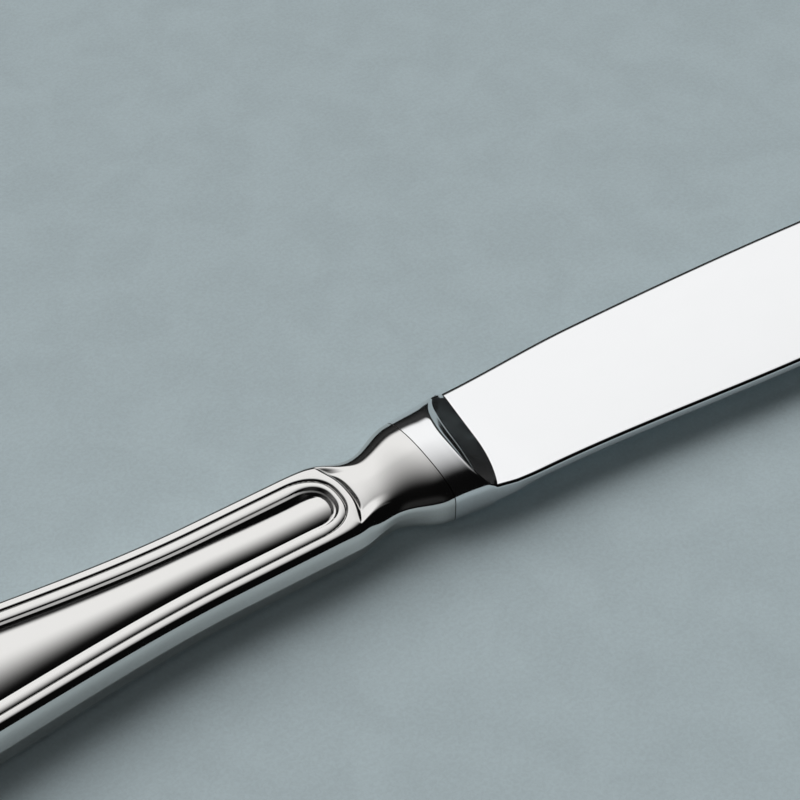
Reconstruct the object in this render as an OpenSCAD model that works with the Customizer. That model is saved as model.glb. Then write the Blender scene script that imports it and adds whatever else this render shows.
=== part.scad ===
// Hollow-handled table knife with a thread border, lying flat on its side.
// The blade, its bolster and its tang are one forging. The handle is two stamped
// half shells, brazed edge to edge and filled with cement that holds the tang.
// The seam between handle and bolster is the reference while drawing: the handle
// runs to the left of it, the blade to the right, cutting edge to the back.

/* [Whole knife] */
// Length from the butt of the handle to the tip of the blade
knife_l = 238; // [190:1:280]
// Length of the handle from its butt to the seam at the bolster
handle_l = 101.5; // [80:0.5:130]

/* [Handle outline] */
// Width of the slim part of the handle
slim_w = 14.2; // [11:0.1:18]
// Thickness over the threads in the slim part
slim_t = 6; // [4.5:0.1:8]
// Widest part of the handle, near the butt
butt_w = 22.6; // [18:0.1:28]
// Thickness over the threads at the widest part
butt_t = 7.8; // [5:0.1:11]
// Distance from the seam to the centre of the round end of the border
shield_back = 17.8; // [14:0.1:24]
// How far that round end reaches towards the seam
shield_reach = 8; // [5:0.1:10]
// Distance from the seam to the place where the handle starts to widen
slim_back = 30.5; // [22:0.5:45]
// Distance from the widest place to the butt
butt_reach = 12; // [8:0.5:20]
// Squareness of the two ends of the outline, 2 is an ellipse
arch_power = 2.6; // [2:0.1:4]
// Squareness of the two ends of the panel, 2 is an ellipse
panel_power = 2.3; // [2:0.1:4]

/* [Thread border] */
// Depth of the rounded side, from the outline in to its crest
rim_in = 1.45; // [0.8:0.05:2.2]
// Squareness of the rounded side, 2 is an ellipse
rim_power = 2.3; // [2:0.1:3.5]
// Width in plan of each steep thread wall
thread_run = 0.3; // [0.15:0.05:0.6]
// Depth of the groove between the two beads
thread_deep = 0.36; // [0.2:0.02:0.7]
// Width of the groove floor
groove_w = 0.25; // [0.1:0.05:0.6]
// Width of the inner bead
bead_w = 0.7; // [0.4:0.05:1.2]
// Width of the ledge between the last two walls
ledge_w = 0.2; // [0.1:0.05:0.5]
// Drop from the crest to the edge of the panel
panel_drop = 0.75; // [0.4:0.05:1.2]
// Rise of the domed panel in the slim part as a share of its half width
crown_share = 0.2; // [0.1:0.01:0.45]
// The same share at the butt, low enough for the knife to rest on its border there
butt_crown_share = 0.09; // [0.04:0.01:0.3]
// Drop at the foot of the border where the neck leaves it
step_drop = 0.2; // [0.05:0.05:0.5]

/* [Neck and bolster] */
// Width of the neck at its waist
waist_w = 12; // [9:0.1:15]
// Distance from the seam back to the waist
waist_back = 7.2; // [5:0.1:12]
// Length over which the sides of the handle draw in to the waist
draw_l = 6.4; // [3:0.1:10]
// How much further the sides reach towards the neck than the border does
side_reach = 0.6; // [0:0.05:2]
// Squareness of the section where the neck leaves the handle, 2 is an ellipse
neck_power = 4; // [2:0.1:6]
// Thickness of the neck where it leaves the border
neck_t = 5.4; // [4:0.1:8]
// Thickness of the bolster at its crest
bolster_t = 8.4; // [6:0.1:11]
// Distance from the seam back to where the neck starts to thicken
rise_back = 9.5; // [6:0.1:14]
// Length over which it thickens
rise_l = 12; // [6:0.5:18]
// Widening of each side from the waist to the bolster
bulge_w = 2.2; // [1:0.05:4]
// Length of that widening
bulge_l = 6.6; // [5:0.1:14]
// Further widening of each side from the bolster to the blade
flare_w = 1.55; // [0.5:0.05:3]
// Length of the flare
flare_l = 16; // [8:0.5:24]
// Distance from the seam back to the start of the flare
flare_back = 2.5; // [0:0.1:6]
// Bluntness of the sides of neck and bolster, 2 is an ellipse
flank_power = 2.6; // [2:0.1:4]
// Thinness of the bolster on its cutting side at the shoulder, 1 is a half ellipse
keen_power = 0.95; // [0.7:0.05:2.5]
// Bluntness of the bolster on its other side at the shoulder, 2 is an ellipse
back_power = 3.4; // [2:0.1:5]

/* [Blade] */
// Distance from the seam to the foot of the shoulder on the centre line
shoulder_x = 8.9; // [6:0.1:14]
// Slant of the foot of the shoulder across the blade
shoulder_skew_share = 0.12; // [0:0.01:0.4]
// How far the foot curves back towards the handle beside the back of the blade
shoulder_bow = 1.7; // [0:0.1:3]
// Slope of the shoulder down to the blade face, in degrees
shoulder_slope = 34; // [15:0.5:60]
// Part of the shoulder that falls more steeply, next to the crest
steep_share = 0.16; // [0.05:0.01:0.4]
// Part of the drop taken by that steep strip
steep_drop_share = 0.3; // [0.1:0.01:0.6]
// Distance from the centre line to the cutting edge
edge_y = 10.35; // [7:0.05:14]
// Distance from the seam to where the cutting edge starts to curve
edge_bend_x = 31.5; // [20:0.5:60]
// Distance from the centre line to the back of the blade at its widest
spine_y = 13.1; // [8:0.05:16]
// Distance from the seam to where the back stops spreading
spine_spread_x = 67.5; // [40:0.5:90]
// Distance from the seam to where the back starts to curve in
spine_bend_x = 81.5; // [60:0.5:120]
// Distance from the seam to where both outlines leave the bolster
blade_start_x = 9; // [6:0.5:16]
// Distance of the tip from the centre line, towards the back
tip_y = 4; // [0:0.5:9]
// Squareness of the curve at the tip, 2 is an ellipse
tip_power = 2.2; // [2:0.1:3]
// Thickness of the back of the blade
spine_t = 1.7; // [1:0.05:3]
// Extra thickness of the back beside the shoulder
swell_t = 1.6; // [0:0.1:3]
// Distance from the seam to where that extra thickness starts to die out
swell_x = 4; // [0:0.5:10]
// Length over which it dies out
swell_l = 9; // [4:0.5:20]
// Thickness of the back at the tip
tip_t = 1; // [0.5:0.05:2]
// Thickness of the blade at the inner end of the edge bevel
bevel_t = 0.7; // [0.3:0.05:1.2]
// Width of the rounded bevel along the cutting edge
bevel_w = 1.3; // [0.5:0.1:3]
// Thickness left at the cutting edge
edge_t = 0.24; // [0.1:0.02:0.6]
// Corner radius along the back of the blade
spine_r = 0.45; // [0.1:0.05:0.8]
// Width of blade below which its thickness, bevel and corner shrink towards the tip
tip_fade_w = 5.2; // [2:0.1:10]
// Part of the thickness that is left at the very tip
tip_thin_share = 0.35; // [0.2:0.05:1]

/* [Inside] */
// Sheet thickness of the handle shells
wall_t = 0.9; // [0.5:0.05:1.4]
// Rise of the hollow under the domed panel
hollow_rise = 0.45; // [0:0.05:1]
// Thickness of the brazed joint between the shells
joint_t = 0.08; // [0.04:0.01:0.2]
// Length of the tang behind the seam
tang_l = 68; // [40:1:85]
// Width of the tang at the bolster
tang_w = 7; // [4:0.1:9]
// Width of the tang at its end
tang_end_w = 4.5; // [3:0.1:8]
// Thickness of the tang at the bolster
tang_t = 2.6; // [1.5:0.1:4]
// Thickness of the tang at its end
tang_end_t = 1.8; // [1:0.1:3]
// Gap between handle and bolster, filled by the lip of the cement
seam_gap = 0.12; // [0.05:0.01:0.3]
// How deep the cement stands back from the surface in that gap
seam_in = 0.15; // [0.05:0.01:0.4]
// Clearance kept between the cement and the metal round it
cement_fit = 0.04; // [0:0.01:0.1]

/* [Hidden] */
blade_l = knife_l - handle_l;
wide_back = handle_l - butt_reach;
// Step counts of the surface nets
arch_n = 18;
side_n = 10;
butt_n = 8;
neck_m = 10;
neck_n = 10;
rim_n = 7;
wall_n = 5;
dome_n = 4;
half_n = arch_n + side_n + butt_n;
ring_n = 2 * half_n;
span_n = 2 * (neck_m + wall_n);
vault_n = neck_m + wall_n;
row_n = half_n - neck_m + neck_n;
fill_n = 20;
top_n = 28;
bevel_n = 4;
corner_n = 3;
bolster_n = 6;
fan_n = 5;
tip_n = 12;
// Shares that space the rows of the nets
neck_row_power = 1.9;
fillet_share = 0.25;
groove_share = 0.05;
dome_end_share = 0.9;
tip_end_share = 0.9995;

// Largest extents, which put the origin under the middle of the knife
far_y = max(butt_w / 2, edge_y);
near_y = max(butt_w / 2, spine_y);
low_z = max(butt_t / 2 + max(0, dome_rise(-wide_back) - panel_drop), bolster_t / 2);

// Smooth step between 0 and 1
function smooth(t) = let (c = min(1, max(0, t))) c * c * (3 - 2 * c);
function lerp(a, b, t) = a + (b - a) * t;

// Half width of the handle and half thickness over its threads
function widen(x) = smooth((-slim_back - x) / (wide_back - slim_back));
function handle_half(x) = lerp(slim_w, butt_w, widen(x)) / 2;
function rim_half(x) = lerp(slim_t, butt_t, widen(x)) / 2;
// Height of the domed panel over its edge, on the centre line
function dome_rise(x) =
    lerp(crown_share, butt_crown_share, pow(widen(x), 2)) * (handle_half(x) - border_in(5));

// Inset of each line of the border, counted inwards from the crest
function border_in(k) = rim_in + (k > 0 ? thread_run : 0) + (k > 1 ? groove_w : 0)
    + (k > 2 ? thread_run + bead_w : 0) + (k > 3 ? thread_run + ledge_w : 0)
    + (k > 4 ? thread_run : 0);
border = [
    [border_in(0), 0],
    [border_in(1), thread_deep],
    [border_in(2), thread_deep],
    [border_in(2) + thread_run, thread_deep / 4],
    [border_in(2) + thread_run + bead_w / 2, thread_deep / 8],
    [border_in(3), thread_deep / 4],
    [border_in(4) - ledge_w, panel_drop / 2],
    [border_in(4), panel_drop / 2],
    [border_in(5), panel_drop]
];
border_n = len(border);
shell_n = rim_n + border_n + dome_n;

// One end of an outline and its sides, from the neck end round the back to the butt
function outline_back(k, inset, power) =
    let (e = 2 / power)
    k <= arch_n ?
        let (a = 90 * k / arch_n)
        [-shield_back + (shield_reach - inset) * pow(cos(a), e),
         (slim_w / 2 - inset) * pow(sin(a), e)]
    : k <= arch_n + side_n ?
        let (x = lerp(-shield_back, -wide_back, (k - arch_n) / side_n))
        [x, handle_half(x) - inset]
    :
        let (a = 90 * (k - arch_n - side_n) / butt_n)
        [-wide_back - (butt_reach - inset) * pow(sin(a), e),
         (butt_w / 2 - inset) * pow(cos(a), e)];
function wrap(i) = (i + ring_n) % ring_n;
function step_of(i) = let (k = wrap(i)) min(k, ring_n - k);
function on_side(i, p) = wrap(i) <= half_n ? p : [p.x, -p.y];
function outline(i, inset, power) = on_side(i, outline_back(step_of(i), inset, power));

// A point of the border net at a given inset, between the outline and the panel
function inset_point(i, inset) =
    lerp(outline(i, 0, arch_power), outline(i, border_in(5), panel_power), inset / border_in(5));

// Half width and half thickness of neck and bolster
function neck_half(x) = waist_w / 2 + bulge_w * smooth((x + waist_back) / bulge_l)
    + flare_w * smooth((x + flare_back) / flare_l)
    + (slim_w - waist_w) / 2 * smooth((-x - waist_back) / draw_l);
function neck_high(x) = lerp(neck_t, bolster_t, smooth((x + rise_back) / rise_l)) / 2;

// Section of the neck: a rounded box by the handle, a blunt oval at the seam, keener at the blade
function roundness(x) = lerp(1, 2 / neck_power, smooth((-x - waist_back) / draw_l));
function flank(x) = lerp(2 / flank_power, 1, smooth((-x - waist_back) / draw_l));
function neck_point(x, a) =
    let (e = roundness(x), last = cos(a) > 0 ? keen_power : 2 / back_power)
    [x, neck_half(x) * sign(cos(a)) * pow(abs(cos(a)), e),
     neck_high(x) * pow(max(0, sin(a)), e * lerp(flank(x), last, smooth(x / shoulder_x)))];
function neck_turn(p) =
    let (e = roundness(p.x))
    atan2(pow(min(1, p.z / neck_high(p.x)), 1 / (e * flank(p.x))),
        sign(p.y) * pow(min(1, abs(p.y) / neck_half(p.x)), 1 / e));
function neck_top(p) =
    let (e = roundness(p.x), t = min(1, abs(p.y) / neck_half(p.x)))
    neck_high(p.x) * pow(1 - pow(t, 2 / e), e * flank(p.x) / 2);

// Outer line of the handle: its sides run on past the round end of the border
function side_back(k) =
    let (p = outline_back(k, 0, arch_power), x = p.x + side_reach * (arch_n - k) / (arch_n - neck_m))
    k >= arch_n ? p
    : k >= neck_m ? [x, neck_half(x)]
    : p + (side_back(neck_m) - outline_back(neck_m, 0, arch_power)) * pow(k / neck_m, 3);
function side_line(i) = on_side(i, side_back(step_of(i)));

// A point of the shell net: rounded side, thread border, domed panel
function side_point(i, r) =
    let (a = 90 * r / rim_n, e = 2 / rim_power, q = inset_point(i, rim_in))
    let (p = lerp(q, side_line(i), pow(cos(a), e)), h = rim_half(outline(i, 0, arch_power).x))
    [p.x, p.y, r == 0 ? joint_t / 2 : h * pow(sin(a), e)];
function shell_point(i, r) =
    let (h = rim_half(outline(i, 0, arch_power).x))
    r <= rim_n ?
        let (p = side_point(i, r), foot = side_point(i, wall_n))
        let (t = smooth(min(1, step_of(i) / neck_m)), low = neck_top(foot) - step_drop)
        step_of(i) >= neck_m || r < wall_n ? p
        : [p.x, p.y, h - (h - lerp(low, foot.z, pow(t, 2))) * (h - p.z) / (h - foot.z)]
    : r < rim_n + border_n ?
        let (b = border[r - rim_n], p = inset_point(i, b.x))
        [p.x, p.y, h - b.y]
    :
        let (q = inset_point(i, border_in(5)))
        let (m = [min(-shield_back, max(-wide_back, q.x)), 0])
        let (t = dome_end_share * (r - rim_n - border_n + 1) / dome_n, p = lerp(q, m, t))
        [p.x, p.y, h - panel_drop + dome_rise(m.x) * (1 - (1 - t) * (1 - t))];

// Where the neck net starts: up one side of the handle, along the foot of the border, and down
function neck_ring(v) = min(v, wall_n, span_n - v);
function neck_step(v) = min(neck_m, max(-neck_m, vault_n - v));
// A point of the neck net, which ends in an even section at the seam
function neck_net(k, v) =
    let (a = shell_point(neck_step(v), neck_ring(v)), u = pow(k / neck_n, neck_row_power))
    let (x = lerp(a.x, 0, u), first = neck_turn(a))
    let (turn = lerp(first, 180 * v / span_n, smooth(u)))
    let (side = smooth((abs(neck_step(v)) - neck_m / 2) * 2 / neck_m))
    let (w = pow(max(0, 1 - u / lerp(groove_share, fillet_share, side)), 2))
    let (p = neck_point(x, turn) + w * (a - neck_point(a.x, first)))
    [x, p.y, v % span_n == 0 ? joint_t / 2 : p.z];

// Outer line of the joint between the shells, from the butt to the seam, back side
function joint_line(r) =
    r <= half_n - neck_m ? side_line(half_n - r)
    : let (p = neck_net(r - half_n + neck_m, 0)) [p.x, p.y];
// The same line moved in by the sheet thickness
function hollow_line(r) =
    r <= half_n - neck_m ?
        let (p = joint_line(r), q = outline(half_n - r, border_in(5), panel_power))
        p + (q - p) / norm(q - p) * wall_t
    : joint_line(r) - [0, wall_t];
// Half height of the hollow
function hollow_high(r) =
    let (p = hollow_line(r))
    let (body = rim_half(p.x) - panel_drop - wall_t + hollow_rise)
    let (round = p.x > -wide_back ? 1 : sqrt(max(0, p.y / (butt_w / 2 - wall_t))))
    lerp(body * round, neck_high(p.x) - wall_t, smooth((p.x + shield_back) / shield_reach));
function hollow_point(r, v, n, fit) =
    let (p = hollow_line(r), a = 180 * v / n)
    [p.x, (p.y - fit) * cos(a), v % n == 0 ? 0 : (hollow_high(r) - fit) * sin(a)];

// Two triangles for each cell of a net
function cell(a, b, c, d) = [[a, b, c], [a, c, d]];

// One handle shell as a closed net: outside, neck, inside, joint face and seam face
module shell() {
    neck_0 = shell_n * ring_n;
    hollow_0 = neck_0 + neck_n * (span_n + 1);
    tip_0 = hollow_0 + row_n * (vault_n + 1);
    points = concat(
        [for (r = [0:shell_n - 1], i = [0:ring_n - 1]) shell_point(i, r)],
        [for (k = [1:neck_n], v = [0:span_n]) neck_net(k, v)],
        [for (r = [1:row_n], v = [0:vault_n])
            let (p = hollow_point(r, v, vault_n, 0)) [p.x, p.y, max(joint_t / 2, p.z)]],
        [let (p = hollow_line(0)) [p.x, p.y, joint_t / 2]]
    );
    function out(r, i) = r * ring_n + wrap(i);
    function nek(k, v) = k == 0 ? out(neck_ring(v), neck_step(v)) : neck_0 + (k - 1) * (span_n + 1) + v;
    function hol(r, v) = r == 0 ? tip_0 : hollow_0 + (r - 1) * (vault_n + 1) + v;
    function far(r) = r <= half_n - neck_m ? out(0, half_n - r) : nek(r - half_n + neck_m, 0);
    function near(r) = r <= half_n - neck_m ? out(0, half_n + r) : nek(r - half_n + neck_m, span_n);
    last = shell_n - 1;
    faces = concat(
        [for (r = [0:last - 1], i = [0:ring_n - 1])
            if (r >= wall_n || (i >= neck_m && i < ring_n - neck_m))
            each cell(out(r, i), out(r + 1, i), out(r + 1, i + 1), out(r, i + 1))],
        [[out(last, 0), out(last, -1), out(last, 1)]],
        [for (i = [1:half_n - 2])
            each cell(out(last, i), out(last, -i), out(last, -i - 1), out(last, i + 1))],
        [[out(last, half_n - 1), out(last, half_n + 1), out(last, half_n)]],
        [for (k = [0:neck_n - 1], v = [0:span_n - 1])
            each cell(nek(k, v), nek(k + 1, v), nek(k + 1, v + 1), nek(k, v + 1))],
        [for (v = [0:vault_n - 1]) each [
            [nek(neck_n, 2 * v), hol(row_n, v), nek(neck_n, 2 * v + 1)],
            [nek(neck_n, 2 * v + 1), hol(row_n, v), hol(row_n, v + 1)],
            [nek(neck_n, 2 * v + 1), hol(row_n, v + 1), nek(neck_n, 2 * v + 2)]]],
        [[far(0), hol(0, 0), hol(1, 0)], [far(0), hol(1, 0), far(1)]],
        [[near(0), hol(1, vault_n), hol(0, 0)], [near(0), near(1), hol(1, vault_n)]],
        [for (r = [1:row_n - 1]) each cell(far(r), hol(r, 0), hol(r + 1, 0), far(r + 1))],
        [for (r = [1:row_n - 1])
            each cell(near(r), near(r + 1), hol(r + 1, vault_n), hol(r, vault_n))],
        [for (v = [0:vault_n - 1]) [hol(0, 0), hol(1, v + 1), hol(1, v)]],
        [for (r = [1:row_n - 1], v = [0:vault_n - 1])
            each cell(hol(r, v), hol(r, v + 1), hol(r + 1, v + 1), hol(r + 1, v))]
    );
    polyhedron(points, faces, convexity = 8);
}

// A closed solid through a list of equal loops
module loft(loops) {
    n = len(loops[0]);
    m = len(loops);
    faces = concat(
        [[for (c = [0:n - 1]) c]],
        [for (r = [0:m - 2], c = [0:n - 1])
            each cell(r * n + c, (r + 1) * n + c, (r + 1) * n + (c + 1) % n, r * n + (c + 1) % n)],
        [[for (c = [n - 1:-1:0]) (m - 1) * n + c]]
    );
    polyhedron([for (l = loops) each l], faces, convexity = 8);
}

// Section of the tang as a rounded bar
function tang_loop(x, angles, fit) =
    let (t = -x / tang_l, w = lerp(tang_w, tang_end_w, t) / 2 + fit)
    let (h = lerp(tang_t, tang_end_t, t) / 2 + fit)
    [for (a = angles)
        [x, w * sign(cos(a)) * sqrt(abs(cos(a))), h * sign(sin(a)) * sqrt(abs(sin(a)))]];

// Distances of the cutting edge and the back of the blade from the centre line
function tip_round(x, bend) =
    let (t = min(1, max(0, (x - bend) / (blade_l - bend)))) sqrt(1 - pow(t, tip_power));
function cut_y(x) =
    let (base = lerp(neck_half(blade_start_x), edge_y,
        smooth((x - blade_start_x) / (edge_bend_x - blade_start_x))))
    x < blade_start_x ? neck_half(x) : -tip_y + (base + tip_y) * tip_round(x, edge_bend_x);
function back_y(x) =
    let (base = lerp(neck_half(blade_start_x), spine_y,
        smooth((x - blade_start_x) / (spine_spread_x - blade_start_x))))
    x < blade_start_x ? -neck_half(x) : -tip_y - (base - tip_y) * tip_round(x, spine_bend_x);
function back_half(x) =
    lerp(spine_t, tip_t, pow(max(0, x / blade_l), 2)) / 2
    + swell_t / 2 * (1 - smooth((x - swell_x) / swell_l));

// A point on the upper blade face: edge bevel, flat wedge, rounded corner of the back
function blade_point(x, j) =
    let (cut = cut_y(x), back = back_y(x), wide = cut - back)
    let (k = min(1, wide / tip_fade_w), w = bevel_w * k, r = spine_r * k)
    let (thick = back_half(x) * lerp(tip_thin_share, 1, k))
    let (thin = min(thick, bevel_t / 2), keen = edge_t / 2)
    let (t = j < bevel_n ? pow((j + 1) / (bevel_n + 1), 2)
        : j > top_n - 1 - corner_n ? (j - top_n + 1 + corner_n) / corner_n
        : (j - bevel_n) / (top_n - 1 - corner_n - bevel_n))
    j < bevel_n ? [x, cut - w * (t - pow(1 / (bevel_n + 1), 2)),
        lerp(keen, thin, 1 - (1 - t) * (1 - t))]
    : j > top_n - 1 - corner_n ? [x, back + r * (1 - sin(90 * t)), thick - r * (1 - cos(90 * t))]
    : [x, lerp(cut - w, back + r, t), lerp(thin, thick, t)];

// Where the shoulder meets the blade face, and where it meets the bolster crest
function half_turn(j) = 180 * (j + 0.5) / top_n;
function shoulder_foot(j) =
    let (y = blade_point(shoulder_x, j).y)
    shoulder_x + shoulder_skew_share * y
    - shoulder_bow * pow(min(0, y) / neck_half(shoulder_x), 2);
function shoulder_crest(j) =
    let (foot = shoulder_foot(j), p = neck_point(shoulder_x / 2, half_turn(j)))
    let (drop = max(spine_t / 2, p.z - blade_point(foot, j).z))
    foot - drop / tan(shoulder_slope);

// One row of the upper half of the forging, from the bolster face to the tip
function forging_row(r) =
    [for (j = [0:top_n - 1])
        let (foot = shoulder_foot(j), crest = shoulder_crest(j))
        let (low = blade_point(foot, j), high = neck_point(crest, half_turn(j)))
        r <= bolster_n ? neck_point(lerp(seam_gap, crest, r / bolster_n), half_turn(j))
        : r == bolster_n + 1 ?
            let (p = lerp(high, low, steep_share))
            [p.x, p.y, lerp(high.z, low.z, steep_drop_share)]
        : r <= bolster_n + 2 + fan_n ?
            blade_point(lerp(foot, edge_bend_x, (r - bolster_n - 2) / fan_n), j)
        :
            let (t = sin(90 * (r - bolster_n - 2 - fan_n) / tip_n))
            blade_point(lerp(edge_bend_x, blade_l, t * tip_end_share), j)];
// The lower half mirrors the upper one
function both_sides(row) =
    concat(row, [for (j = [len(row) - 1:-1:0]) [row[j].x, row[j].y, -row[j].z]]);
function loop_angles() =
    concat([for (j = [0:top_n - 1]) half_turn(j)], [for (j = [0:top_n - 1]) 180 + half_turn(j)]);

// Blade, bolster and tang
module blade() {
    rows = bolster_n + 2 + fan_n + tip_n;
    color([0.82, 0.83, 0.84])
    place()
    loft(concat(
        [for (t = [1, 0.5, 0]) tang_loop(lerp(seam_gap, -tang_l, t), loop_angles(), 0)],
        [for (r = [0:rows]) both_sides(forging_row(r))]
    ));
}

// Upper shell of the handle, the one seen in use
module handle_front_shell() {
    color([0.78, 0.79, 0.8])
    place()
    shell();
}

// Lower shell, the mirror image of the upper one
module handle_back_shell() {
    color([0.74, 0.75, 0.77])
    place()
    mirror([0, 0, 1])
    shell();
}

// Cement that fills the shells, with its thin lip in the gap at the seam
module tang_cement() {
    turns = [for (c = [0:fill_n - 1]) 360 * c / fill_n];
    lip = [for (a = turns) [(neck_half(0) - seam_in) * cos(a),
        (neck_high(0) - seam_in) * sign(sin(a)) * pow(abs(sin(a)), flank(0))]];
    color([0.3, 0.29, 0.27])
    place()
    loft(concat(
        [for (r = [1:row_n]) [for (c = [0:fill_n - 1])
            let (p = hollow_point(r, c, fill_n / 2, cement_fit)) [p.x, p.y, p.z]]],
        [for (x = [0, seam_gap]) [for (p = lip) [x, p.x, p.y]]],
        [for (t = [0, 0.5, 1]) tang_loop(lerp(seam_gap, -tang_l - cement_fit, t), turns, cement_fit)]
    ));
}

// Brazing along the joint of the two shells
module seam_braze() {
    outer = [for (r = [row_n:-1:0]) joint_line(r)];
    inner = [for (r = [0:row_n]) hollow_line(r)];
    color([0.7, 0.66, 0.55])
    place()
    linear_extrude(height = joint_t, center = true)
    polygon(concat(
        outer,
        [for (r = [1:row_n]) let (p = joint_line(r)) [p.x, -p.y]],
        [for (r = [row_n:-1:0]) let (p = hollow_line(r)) [p.x, -p.y]],
        [for (r = [1:row_n]) hollow_line(r)]
    ));
}

// Lift and shift so that the origin lies under the middle of the knife
module place() {
    translate([handle_l - knife_l / 2, (near_y - far_y) / 2, low_z])
    children();
}

blade();
handle_front_shell();
handle_back_shell();
tang_cement();
seam_braze();
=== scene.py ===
import math

import bmesh
import bpy
import numpy as np
from bpy.props import FloatProperty, FloatVectorProperty, PointerProperty
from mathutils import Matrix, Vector


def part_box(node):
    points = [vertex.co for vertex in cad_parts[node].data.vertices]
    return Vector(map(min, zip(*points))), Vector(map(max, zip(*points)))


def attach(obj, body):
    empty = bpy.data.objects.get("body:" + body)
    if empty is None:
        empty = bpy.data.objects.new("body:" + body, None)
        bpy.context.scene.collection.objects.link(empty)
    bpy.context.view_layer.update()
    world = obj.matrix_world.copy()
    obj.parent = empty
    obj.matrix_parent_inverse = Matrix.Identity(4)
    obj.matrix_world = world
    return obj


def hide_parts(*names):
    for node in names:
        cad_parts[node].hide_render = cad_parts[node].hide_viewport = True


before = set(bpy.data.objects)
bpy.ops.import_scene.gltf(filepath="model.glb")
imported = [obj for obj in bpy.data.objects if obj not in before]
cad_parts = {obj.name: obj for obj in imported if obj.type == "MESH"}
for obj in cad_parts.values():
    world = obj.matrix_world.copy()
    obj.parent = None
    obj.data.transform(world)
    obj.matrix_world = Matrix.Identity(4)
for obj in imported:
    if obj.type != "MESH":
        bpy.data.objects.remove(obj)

bl_info = {
    "name": "Thread pattern table knife",
    "version": (1, 0, 0),
    "blender": (4, 5, 0),
    "location": "3D View > Sidebar > Table knife",
    "description": "Builds the polished surfaces of a hollow-handled table knife and the stage it lies on",
    "category": "Object",
}

MM = 0.001


def hex_colour(code, alpha=1.0):
    """Turns an sRGB hex code into the linear colour that Blender's sockets take."""
    channels = [int(code[i:i + 2], 16) / 255 for i in (1, 3, 5)]
    linear = [c / 12.92 if c <= 0.04045 else ((c + 0.055) / 1.055) ** 2.4 for c in channels]
    return (*linear, alpha)


def length(name, description, millimetres):
    """A length property in metres whose default is given in millimetres."""
    return FloatProperty(name=name, description=description, default=millimetres * MM, min=0.0,
                         unit="LENGTH", subtype="DISTANCE", precision=5)


def angle(name, description, degrees):
    """An angle property whose default is given in degrees."""
    return FloatProperty(name=name, description=description, default=math.radians(degrees),
                         subtype="ANGLE")


def share(name, description, default, low=0.0, high=10.0):
    """A plain number property, such as a share or a power."""
    return FloatProperty(name=name, description=description, default=default, min=low, max=high)


def colour(name, description, code):
    """A colour property whose default is given as an sRGB hex code."""
    return FloatVectorProperty(name=name, description=description, default=hex_colour(code), size=4,
                               min=0.0, max=1.0, subtype="COLOR")


class HandleSizes(bpy.types.PropertyGroup):
    """Outline of the handle and of the panel inside its border."""

    slim_width: length("Slim width", "Width of the slim part of the handle", 14.2)
    slim_thickness: length("Slim thickness", "Thickness over the threads in the slim part", 6.0)
    butt_width: length("Butt width", "Widest part of the handle, near the butt", 22.6)
    butt_thickness: length("Butt thickness", "Thickness over the threads at the widest part", 7.8)
    border_back: length("Border end", "Distance from the seam to the centre of the border's round end", 17.8)
    border_reach: length("Border reach", "How far that round end reaches towards the seam", 8.0)
    slim_back: length("Slim end", "Distance from the seam to where the handle starts to widen", 30.5)
    wide_back: length("Widest place", "Distance from the seam to the widest place", 89.5)
    panel_power: share("Panel squareness", "Squareness of the panel's ends, 2 is an ellipse", 2.3)
    arch_power: share("Arch squareness", "Squareness of the outline's ends, 2 is an ellipse", 2.6)
    side_reach: length("Side reach", "How much further the sides reach towards the neck than the border", 0.6)
    crown_share: share("Crown", "Rise of the slim part's panel as a share of its half width", 0.165)
    butt_crown_share: share("Butt crown", "The same share at the butt", 0.09)


class BorderSizes(bpy.types.PropertyGroup):
    """Section of the thread border, from the outline in to the panel."""

    rim_in: length("Rounded side", "Depth of the rounded side, from the outline in to its crest", 1.93)
    rim_power: share("Side squareness", "Squareness of the rounded side, 2 is an ellipse", 4.2)
    draft_share: share("Draft", "Part of that depth by which the side leans in up to its crest", 0.22)
    shoulder_width: length("Outer shoulder",
                           "Width over which the outer bead rounds down to the groove", 0.35)
    groove_depth: length("Groove depth", "Depth of the groove between the beads", 0.16)
    bead_width: length("Bead width", "Width of the inner bead", 1.42)
    bead_crown: length("Bead crown", "Height of the inner bead over the groove", 0.13)
    bead_wall: length("Bead wall", "Height of the steep wall from the inner bead down to the ledge", 0.22)
    ledge_fall: length("Ledge fall", "Drop along the ledge", 0.05)
    ledge_width: length("Ledge width", "Width of the ledge between bead and panel wall", 0.42)
    wall_run: length("Wall run", "Width in plan of the two steep walls", 0.05)
    panel_drop: length("Panel drop", "Drop from the crest to the edge of the panel", 0.55)
    arch_gain: share("Arch depth", "How many times deeper the beads are round the arch", 1.25)
    arch_wall_run: length("Arch wall run", "Width in plan of the walls round the arch, before fitting", 0.7)
    arch_shoulder: length("Arch shoulder", "Width of the outer shoulder there, before fitting", 1.0)
    arch_sink: length("Arch sink", "How much deeper the panel lies at the arch", 0.5)
    sink_length: length("Sink length", "Length over which the panel sinks towards the arch", 16)
    step_drop: length("Step groove", "Depth of the fine groove where the neck leaves the border", 0.2)


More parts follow.
